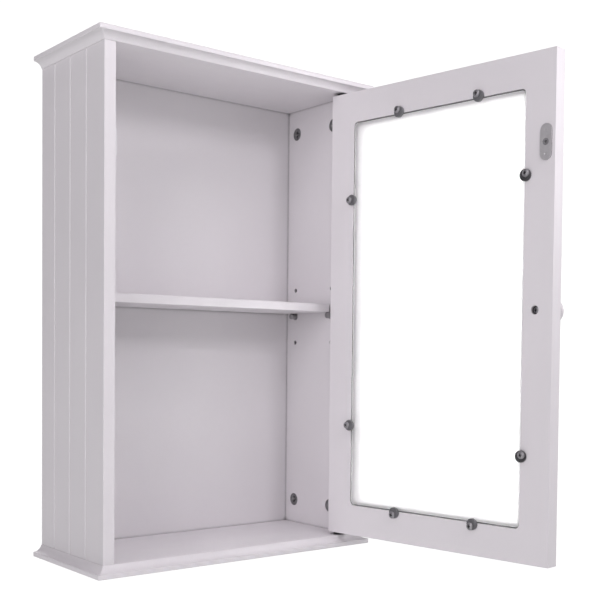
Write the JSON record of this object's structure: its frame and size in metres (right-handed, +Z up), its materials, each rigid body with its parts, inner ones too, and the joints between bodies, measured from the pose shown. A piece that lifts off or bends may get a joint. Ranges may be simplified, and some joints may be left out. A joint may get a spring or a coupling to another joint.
{
  "type": "hanging wall cabinet",
  "caption": "Shallow wall-hung cabinet with moulded top and bottom, grooved sides, an adjustable shelf and an inset door with a frosted pane.",
  "frame": {"origin": "on the wall plane, at the middle of the hanging rail's rear face, midway between the two wall screws that the cabinet hangs on", "axes": "+Z up, +X to the right seen from the front, the door side faces -Y and the wall is the plane y = 0"},
  "size_m": [0.372, 0.4235, 0.53],
  "materials": {
    "painted_board": "satin white paint on fibreboard",
    "back_board": "smooth white-faced thin fibreboard",
    "raw_board": "bare fibreboard",
    "dowel_wood": "bare beech",
    "zinc_steel": "zinc plated",
    "screw_steel": "zinc plated screw",
    "cam_zinc": "dull cast zinc",
    "nickel_steel": "nickel plated",
    "nylon": "black nylon",
    "white_plastic": "moulded white plastic",
    "ferrite": "sintered ferrite",
    "frosted_glass": "satin frosted",
    "clip_plastic": "dark grey moulded plastic",
    "knob_lacquer": "white lacquer",
    "brass": "turned brass"
  },
  "bodies": {
    "cabinet": {"top_panel": "painted_board", "bottom_panel": "painted_board", "left_side_panel": "painted_board", "right_side_panel": "painted_board", "back_panel": "back_board", "hanging_rail": "raw_board", "hanger_plates": "zinc_steel", "hanger_screws": "screw_steel", "cam_locks": "cam_zinc", "cam_bolts": "screw_steel", "wood_dowels": "dowel_wood", "shelf": "painted_board", "shelf_pins": "nickel_steel", "top_pivot_bush": "nylon", "bottom_pivot_bush": "nylon", "pivot_washer": "nylon", "catch_housing": "white_plastic", "catch_magnet": "ferrite", "catch_pole_plates": "nickel_steel", "catch_screws": "screw_steel"},
    "door": {"door_frame": "painted_board", "glass_pane": "frosted_glass", "glass_clips": "clip_plastic", "clip_screws": "screw_steel", "strike_plate": "nickel_steel", "strike_plate_screw": "screw_steel", "top_pivot_pin": "zinc_steel", "bottom_pivot_pin": "zinc_steel", "door_knob": "knob_lacquer", "knob_insert": "brass", "knob_screw": "screw_steel"}
  },
  "joints": [
    {"name": "door_hinge", "type": "hinge", "parent": "cabinet", "child": "door", "pos_m": [0.1395, -0.137, -0.223], "axis": [0, 0, 1], "range_deg": [-97, 20]}
  ]
}
